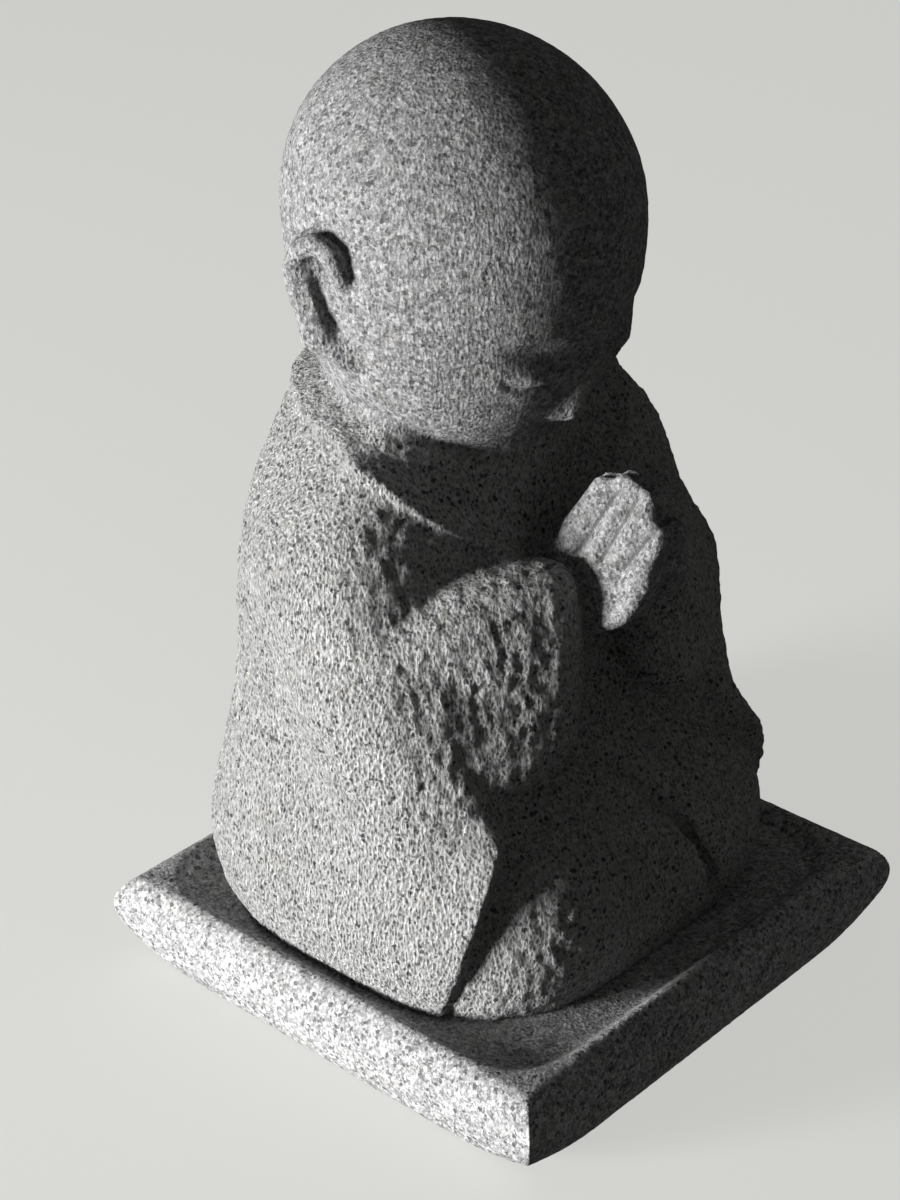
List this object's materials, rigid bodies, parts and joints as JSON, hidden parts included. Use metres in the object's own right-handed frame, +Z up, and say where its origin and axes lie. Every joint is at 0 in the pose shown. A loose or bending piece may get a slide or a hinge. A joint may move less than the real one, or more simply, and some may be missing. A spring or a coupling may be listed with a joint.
{
  "type": "stone jizo statue",
  "caption": "Small granite figure of a child monk kneeling in prayer on a square stone cushion.",
  "frame": {"origin": "middle of the cushion's underside, on the surface that it stands on", "axes": "+Z up, the figure faces -Y, and its left hand is at +X"},
  "size_m": [0.14, 0.14, 0.2366],
  "materials": {
    "rough_granite": "bush-hammered light grey granite with black and white crystals, pecked finer on the head and hands",
    "fine_granite": "finely pecked and honed light grey granite with dark flecks"
  },
  "bodies": {
    "root": {"kneeling_figure": "rough_granite", "cushion": "fine_granite"}
  },
  "joints": []
}
